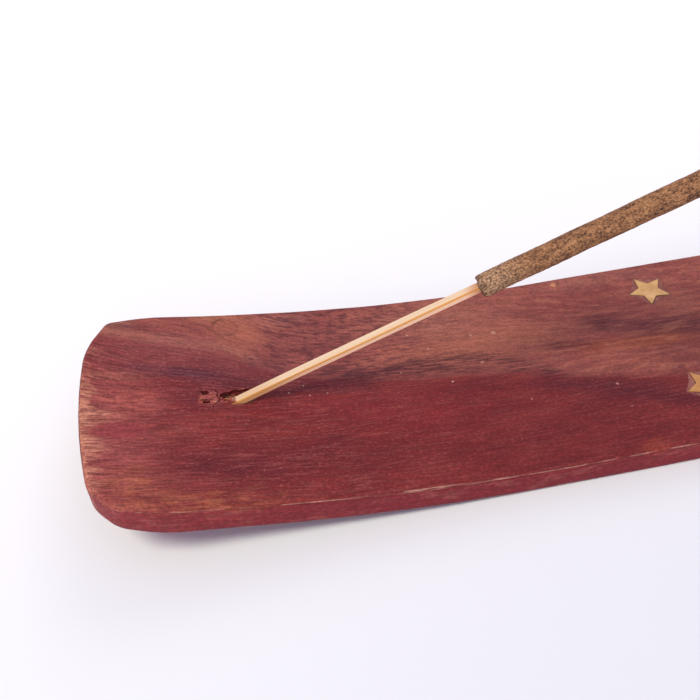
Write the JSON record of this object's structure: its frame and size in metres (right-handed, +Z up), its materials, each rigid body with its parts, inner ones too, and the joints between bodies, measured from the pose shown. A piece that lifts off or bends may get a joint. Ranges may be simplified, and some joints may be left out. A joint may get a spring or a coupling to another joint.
{
  "type": "incense stick holder",
  "caption": "Ski-shaped wooden incense ash tray with a curled end, brass star inlays, and an incense stick leaning in a slanted hole.",
  "frame": {"origin": "bottom centre of the bounding box, on the table under the middle of the tray", "axes": "+X along the tray from the raised end to the tail, +Y across it, +Z up"},
  "size_m": [0.26, 0.04, 0.0931],
  "materials": {
    "stained_wood": "red-brown stain, sanded, unpolished",
    "brass": "sanded flush, dull",
    "inlay_filler": "resin and wood dust, sanded",
    "bamboo": "split, bare",
    "incense_paste": "rough, dry wood-powder paste"
  },
  "bodies": {
    "holder": {"tray": "stained_wood", "star_inlay_1": "brass", "star_inlay_2": "brass", "star_inlay_3": "brass", "star_inlay_4": "brass", "star_inlay_5": "brass", "star_filler_1": "inlay_filler", "star_filler_2": "inlay_filler", "star_filler_3": "inlay_filler", "star_filler_4": "inlay_filler", "star_filler_5": "inlay_filler"},
    "incense_stick": {"bamboo_core": "bamboo", "incense_paste": "incense_paste"}
  },
  "joints": [
    {"name": "stick_slide", "type": "slide", "parent": "holder", "child": "incense_stick", "axis": [0.9298, 0, 0.3681], "range_m": [0, 0.03]}
  ]
}
